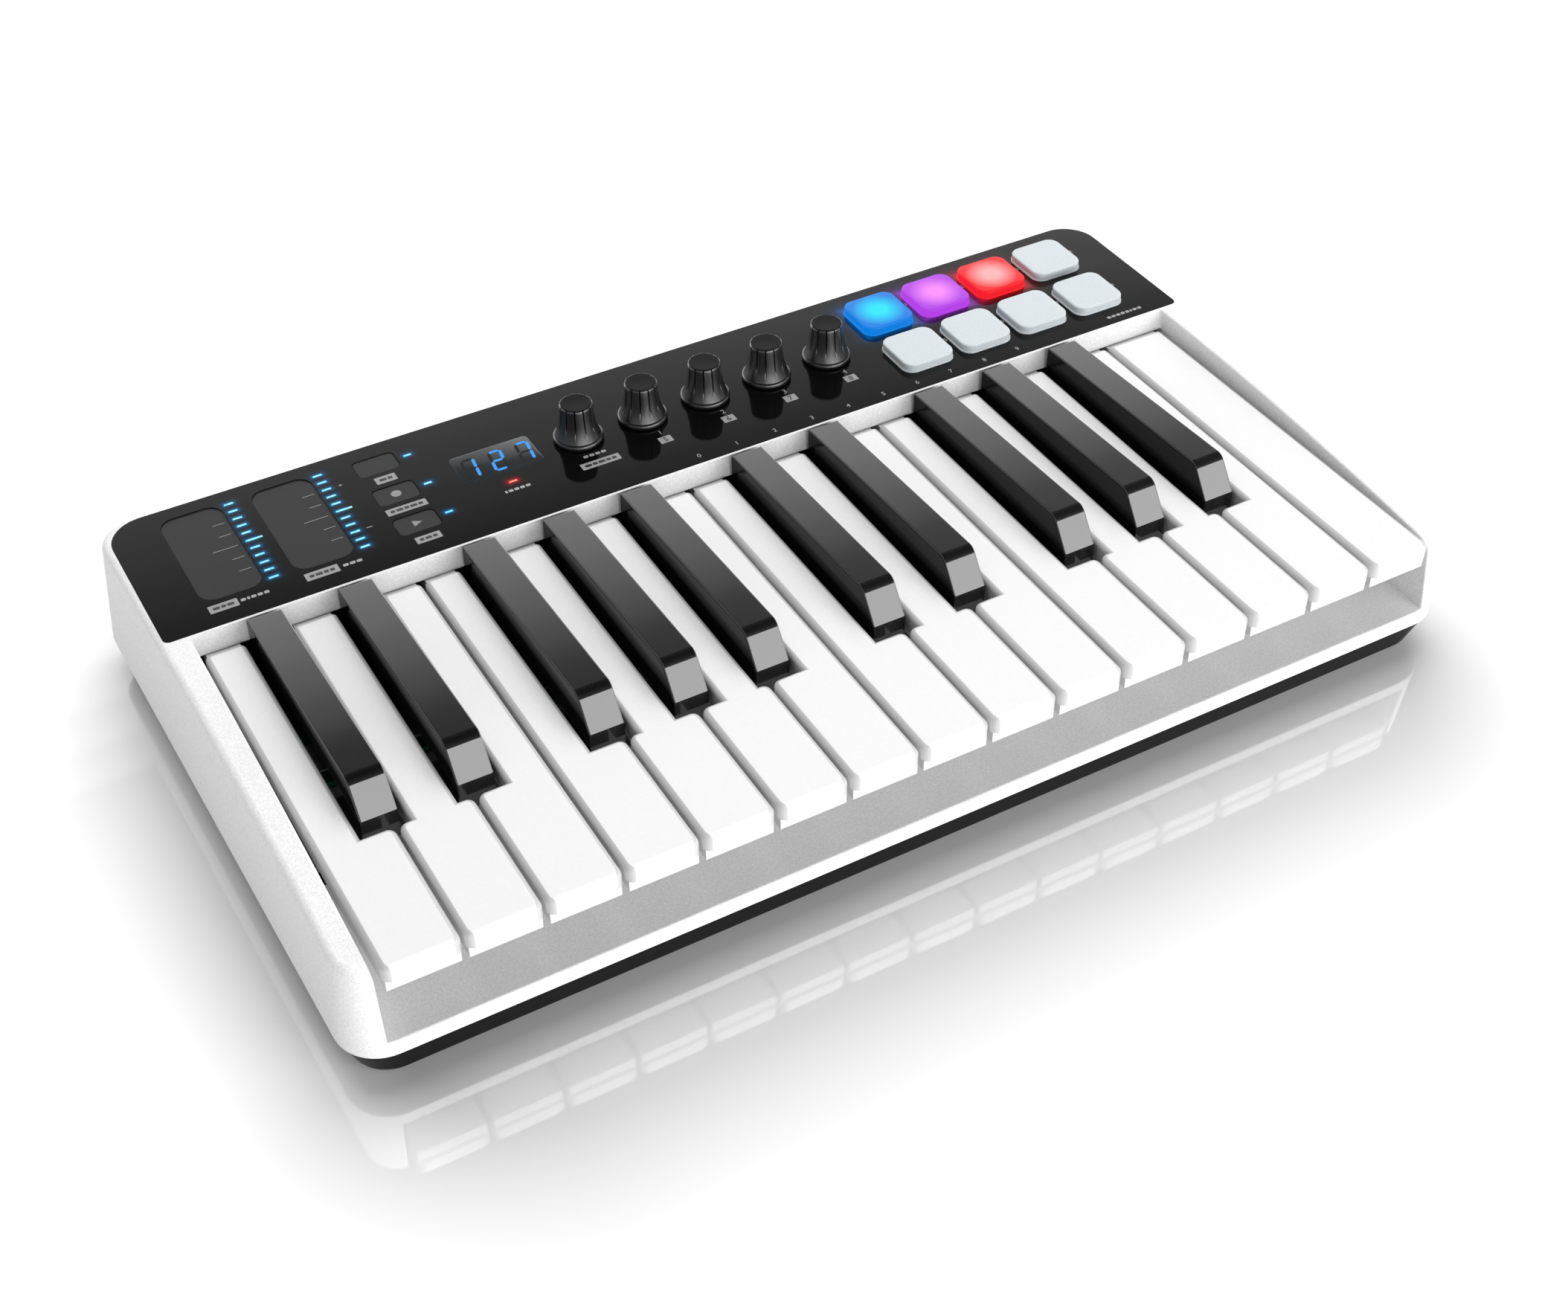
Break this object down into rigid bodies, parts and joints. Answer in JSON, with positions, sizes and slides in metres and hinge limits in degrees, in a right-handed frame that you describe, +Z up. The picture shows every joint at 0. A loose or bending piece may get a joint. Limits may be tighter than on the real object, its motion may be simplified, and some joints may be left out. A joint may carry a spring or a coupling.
{
  "type": "midi keyboard",
  "caption": "Small controller keyboard with full-size piano keys in a white case, and a black control panel with pads, knobs, buttons, touch strips and a numeric display.",
  "frame": {"origin": "centre of the case's plan, on the surface the feet stand on", "axes": "+X to the player's right, +Y to the back, +Z up"},
  "size_m": [0.3826, 0.215, 0.0644],
  "materials": {
    "white_shell": "satin white with a fine speckle",
    "black_tray": "gloss black",
    "black_panel": "semi-gloss black",
    "smoked_window": "smoked clear window",
    "display": "seven-segment module",
    "touch_grey": "matt dark grey",
    "light_pipe": "lit blue light pipes",
    "white_key": "polished white",
    "black_key": "polished black",
    "pad_rubber": "translucent silicone, some lit in colour",
    "knob_black": "gloss black",
    "button_rubber": "matt dark grey",
    "frame_plastic": "moulded dark grey",
    "steel": "bright steel",
    "contact_rubber": "grey silicone",
    "board": "green circuit board",
    "component_black": "black moulded",
    "socket": "black moulded with a metal lining",
    "usb_metal": "bright metal",
    "foot_rubber": "black rubber"
  },
  "bodies": {
    "case": {"top_case": "white_shell", "bottom_case": "black_tray", "control_panel": "black_panel", "display_window": "smoked_window", "display_module": "display", "touch_strip_left": "touch_grey", "touch_strip_right": "touch_grey", "led_light_pipes": "light_pipe", "key_frame": "frame_plastic", "key_pivot_rod": "steel", "key_springs": "steel", "key_contact_strip": "contact_rubber", "key_circuit_board": "board", "panel_circuit_board": "board", "encoders": "component_black", "audio_sockets": "socket", "usb_socket": "usb_metal", "rubber_feet": "foot_rubber", "case_screws": "steel"},
    "white_key_01": {"white_key_01": "white_key"},
    "white_key_02": {"white_key_02": "white_key"},
    "white_key_03": {"white_key_03": "white_key"},
    "white_key_04": {"white_key_04": "white_key"},
    "white_key_05": {"white_key_05": "white_key"},
    "white_key_06": {"white_key_06": "white_key"},
    "white_key_07": {"white_key_07": "white_key"},
    "white_key_08": {"white_key_08": "white_key"},
    "white_key_09": {"white_key_09": "white_key"},
    "white_key_10": {"white_key_10": "white_key"},
    "white_key_11": {"white_key_11": "white_key"},
    "white_key_12": {"white_key_12": "white_key"},
    "white_key_13": {"white_key_13": "white_key"},
    "white_key_14": {"white_key_14": "white_key"},
    "white_key_15": {"white_key_15": "white_key"},
    "black_key_01": {"black_key_01": "black_key"},
    "black_key_02": {"black_key_02": "black_key"},
    "black_key_03": {"black_key_03": "black_key"},
    "black_key_04": {"black_key_04": "black_key"},
    "black_key_05": {"black_key_05": "black_key"},
    "black_key_06": {"black_key_06": "black_key"},
    "black_key_07": {"black_key_07": "black_key"},
    "black_key_08": {"black_key_08": "black_key"},
    "black_key_09": {"black_key_09": "black_key"},
    "black_key_10": {"black_key_10": "black_key"},
    "pad_1": {"pad_1": "pad_rubber"},
    "pad_2": {"pad_2": "pad_rubber"},
    "pad_3": {"pad_3": "pad_rubber"},
    "pad_4": {"pad_4": "pad_rubber"},
    "pad_5": {"pad_5": "pad_rubber"},
    "pad_6": {"pad_6": "pad_rubber"},
    "pad_7": {"pad_7": "pad_rubber"},
    "pad_8": {"pad_8": "pad_rubber"},
    "knob_1": {"knob_1": "knob_black"},
    "knob_2": {"knob_2": "knob_black"},
    "knob_3": {"knob_3": "knob_black"},
    "knob_4": {"knob_4": "knob_black"},
    "knob_5": {"knob_5": "knob_black"},
    "button_1": {"button_1": "button_rubber"},
    "button_2": {"button_2": "button_rubber"},
    "button_3": {"button_3": "button_rubber"}
  },
  "joints": [
    {"name": "white_key_01_press", "type": "hinge", "parent": "case", "child": "white_key_01", "pos_m": [0, 0.0532, 0.04], "axis": [1, 0, 0], "range_deg": [0, 3.4], "stiffness_Nm_per_rad": 0.5, "springref_deg": -11.46},
    {"name": "white_key_02_press", "type": "hinge", "parent": "case", "child": "white_key_02", "pos_m": [0, 0.0532, 0.04], "axis": [1, 0, 0], "range_deg": [0, 3.4], "stiffness_Nm_per_rad": 0.5, "springref_deg": -11.46},
    {"name": "white_key_03_press", "type": "hinge", "parent": "case", "child": "white_key_03", "pos_m": [0, 0.0532, 0.04], "axis": [1, 0, 0], "range_deg": [0, 3.4], "stiffness_Nm_per_rad": 0.5, "springref_deg": -11.46},
    {"name": "white_key_04_press", "type": "hinge", "parent": "case", "child": "white_key_04", "pos_m": [0, 0.0532, 0.04], "axis": [1, 0, 0], "range_deg": [0, 3.4], "stiffness_Nm_per_rad": 0.5, "springref_deg": -11.46},
    {"name": "white_key_05_press", "type": "hinge", "parent": "case", "child": "white_key_05", "pos_m": [0, 0.0532, 0.04], "axis": [1, 0, 0], "range_deg": [0, 3.4], "stiffness_Nm_per_rad": 0.5, "springref_deg": -11.46},
    {"name": "white_key_06_press", "type": "hinge", "parent": "case", "child": "white_key_06", "pos_m": [0, 0.0532, 0.04], "axis": [1, 0, 0], "range_deg": [0, 3.4], "stiffness_Nm_per_rad": 0.5, "springref_deg": -11.46},
    {"name": "white_key_07_press", "type": "hinge", "parent": "case", "child": "white_key_07", "pos_m": [0, 0.0532, 0.04], "axis": [1, 0, 0], "range_deg": [0, 3.4], "stiffness_Nm_per_rad": 0.5, "springref_deg": -11.46},
    {"name": "white_key_08_press", "type": "hinge", "parent": "case", "child": "white_key_08", "pos_m": [0, 0.0532, 0.04], "axis": [1, 0, 0], "range_deg": [0, 3.4], "stiffness_Nm_per_rad": 0.5, "springref_deg": -11.46},
    {"name": "white_key_09_press", "type": "hinge", "parent": "case", "child": "white_key_09", "pos_m": [0, 0.0532, 0.04], "axis": [1, 0, 0], "range_deg": [0, 3.4], "stiffness_Nm_per_rad": 0.5, "springref_deg": -11.46},
    {"name": "white_key_10_press", "type": "hinge", "parent": "case", "child": "white_key_10", "pos_m": [0, 0.0532, 0.04], "axis": [1, 0, 0], "range_deg": [0, 3.4], "stiffness_Nm_per_rad": 0.5, "springref_deg": -11.46},
    {"name": "white_key_11_press", "type": "hinge", "parent": "case", "child": "white_key_11", "pos_m": [0, 0.0532, 0.04], "axis": [1, 0, 0], "range_deg": [0, 3.4], "stiffness_Nm_per_rad": 0.5, "springref_deg": -11.46},
    {"name": "white_key_12_press", "type": "hinge", "parent": "case", "child": "white_key_12", "pos_m": [0, 0.0532, 0.04], "axis": [1, 0, 0], "range_deg": [0, 3.4], "stiffness_Nm_per_rad": 0.5, "springref_deg": -11.46},
    {"name": "white_key_13_press", "type": "hinge", "parent": "case", "child": "white_key_13", "pos_m": [0, 0.0532, 0.04], "axis": [1, 0, 0], "range_deg": [0, 3.4], "stiffness_Nm_per_rad": 0.5, "springref_deg": -11.46},
    {"name": "white_key_14_press", "type": "hinge", "parent": "case", "child": "white_key_14", "pos_m": [0, 0.0532, 0.04], "axis": [1, 0, 0], "range_deg": [0, 3.4], "stiffness_Nm_per_rad": 0.5, "springref_deg": -11.46},
    {"name": "white_key_15_press", "type": "hinge", "parent": "case", "child": "white_key_15", "pos_m": [0, 0.0532, 0.04], "axis": [1, 0, 0], "range_deg": [0, 3.4], "stiffness_Nm_per_rad": 0.5, "springref_deg": -11.46},
    {"name": "black_key_01_press", "type": "hinge", "parent": "case", "child": "black_key_01", "pos_m": [0, 0.0532, 0.04], "axis": [1, 0, 0], "range_deg": [0, 3.4], "stiffness_Nm_per_rad": 0.5, "springref_deg": -11.46},
    {"name": "black_key_02_press", "type": "hinge", "parent": "case", "child": "black_key_02", "pos_m": [0, 0.0532, 0.04], "axis": [1, 0, 0], "range_deg": [0, 3.4], "stiffness_Nm_per_rad": 0.5, "springref_deg": -11.46},
    {"name": "black_key_03_press", "type": "hinge", "parent": "case", "child": "black_key_03", "pos_m": [0, 0.0532, 0.04], "axis": [1, 0, 0], "range_deg": [0, 3.4], "stiffness_Nm_per_rad": 0.5, "springref_deg": -11.46},
    {"name": "black_key_04_press", "type": "hinge", "parent": "case", "child": "black_key_04", "pos_m": [0, 0.0532, 0.04], "axis": [1, 0, 0], "range_deg": [0, 3.4], "stiffness_Nm_per_rad": 0.5, "springref_deg": -11.46},
    {"name": "black_key_05_press", "type": "hinge", "parent": "case", "child": "black_key_05", "pos_m": [0, 0.0532, 0.04], "axis": [1, 0, 0], "range_deg": [0, 3.4], "stiffness_Nm_per_rad": 0.5, "springref_deg": -11.46},
    {"name": "black_key_06_press", "type": "hinge", "parent": "case", "child": "black_key_06", "pos_m": [0, 0.0532, 0.04], "axis": [1, 0, 0], "range_deg": [0, 3.4], "stiffness_Nm_per_rad": 0.5, "springref_deg": -11.46},
    {"name": "black_key_07_press", "type": "hinge", "parent": "case", "child": "black_key_07", "pos_m": [0, 0.0532, 0.04], "axis": [1, 0, 0], "range_deg": [0, 3.4], "stiffness_Nm_per_rad": 0.5, "springref_deg": -11.46},
    {"name": "black_key_08_press", "type": "hinge", "parent": "case", "child": "black_key_08", "pos_m": [0, 0.0532, 0.04], "axis": [1, 0, 0], "range_deg": [0, 3.4], "stiffness_Nm_per_rad": 0.5, "springref_deg": -11.46},
    {"name": "black_key_09_press", "type": "hinge", "parent": "case", "child": "black_key_09", "pos_m": [0, 0.0532, 0.04], "axis": [1, 0, 0], "range_deg": [0, 3.4], "stiffness_Nm_per_rad": 0.5, "springref_deg": -11.46},
    {"name": "black_key_10_press", "type": "hinge", "parent": "case", "child": "black_key_10", "pos_m": [0, 0.0532, 0.04], "axis": [1, 0, 0], "range_deg": [0, 3.4], "stiffness_Nm_per_rad": 0.5, "springref_deg": -11.46},
    {"name": "pad_1_press", "type": "slide", "parent": "case", "child": "pad_1", "axis": [0, 0, -1], "range_m": [0, 0.001], "stiffness_N_per_m": 3000, "springref_m": -0.0005},
    {"name": "pad_2_press", "type": "slide", "parent": "case", "child": "pad_2", "axis": [0, 0, -1], "range_m": [0, 0.001], "stiffness_N_per_m": 3000, "springref_m": -0.0005},
    {"name": "pad_3_press", "type": "slide", "parent": "case", "child": "pad_3", "axis": [0, 0, -1], "range_m": [0, 0.001], "stiffness_N_per_m": 3000, "springref_m": -0.0005},
    {"name": "pad_4_press", "type": "slide", "parent": "case", "child": "pad_4", "axis": [0, 0, -1], "range_m": [0, 0.001], "stiffness_N_per_m": 3000, "springref_m": -0.0005},
    {"name": "pad_5_press", "type": "slide", "parent": "case", "child": "pad_5", "axis": [0, 0, -1], "range_m": [0, 0.001], "stiffness_N_per_m": 3000, "springref_m": -0.0005},
    {"name": "pad_6_press", "type": "slide", "parent": "case", "child": "pad_6", "axis": [0, 0, -1], "range_m": [0, 0.001], "stiffness_N_per_m": 3000, "springref_m": -0.0005},
    {"name": "pad_7_press", "type": "slide", "parent": "case", "child": "pad_7", "axis": [0, 0, -1], "range_m": [0, 0.001], "stiffness_N_per_m": 3000, "springref_m": -0.0005},
    {"name": "pad_8_press", "type": "slide", "parent": "case", "child": "pad_8", "axis": [0, 0, -1], "range_m": [0, 0.001], "stiffness_N_per_m": 3000, "springref_m": -0.0005},
    {"name": "knob_1_turn", "type": "hinge", "parent": "case", "child": "knob_1", "pos_m": [-0.0346, 0.0712, 0.055], "axis": [0, 0, 1], "continuous": true},
    {"name": "knob_2_turn", "type": "hinge", "parent": "case", "child": "knob_2", "pos_m": [-0.011, 0.0712, 0.055], "axis": [0, 0, 1], "continuous": true},
    {"name": "knob_3_turn", "type": "hinge", "parent": "case", "child": "knob_3", "pos_m": [0.0126, 0.0712, 0.055], "axis": [0, 0, 1], "continuous": true},
    {"name": "knob_4_turn", "type": "hinge", "parent": "case", "child": "knob_4", "pos_m": [0.0362, 0.0712, 0.055], "axis": [0, 0, 1], "continuous": true},
    {"name": "knob_5_turn", "type": "hinge", "parent": "case", "child": "knob_5", "pos_m": [0.0598, 0.0712, 0.055], "axis": [0, 0, 1], "continuous": true},
    {"name": "button_1_press", "type": "slide", "parent": "case", "child": "button_1", "axis": [0, 0, -1], "range_m": [0, 0.0006], "stiffness_N_per_m": 2500, "springref_m": -0.0005},
    {"name": "button_2_press", "type": "slide", "parent": "case", "child": "button_2", "axis": [0, 0, -1], "range_m": [0, 0.0006], "stiffness_N_per_m": 2500, "springref_m": -0.0005},
    {"name": "button_3_press", "type": "slide", "parent": "case", "child": "button_3", "axis": [0, 0, -1], "range_m": [0, 0.0006], "stiffness_N_per_m": 2500, "springref_m": -0.0005}
  ]
}
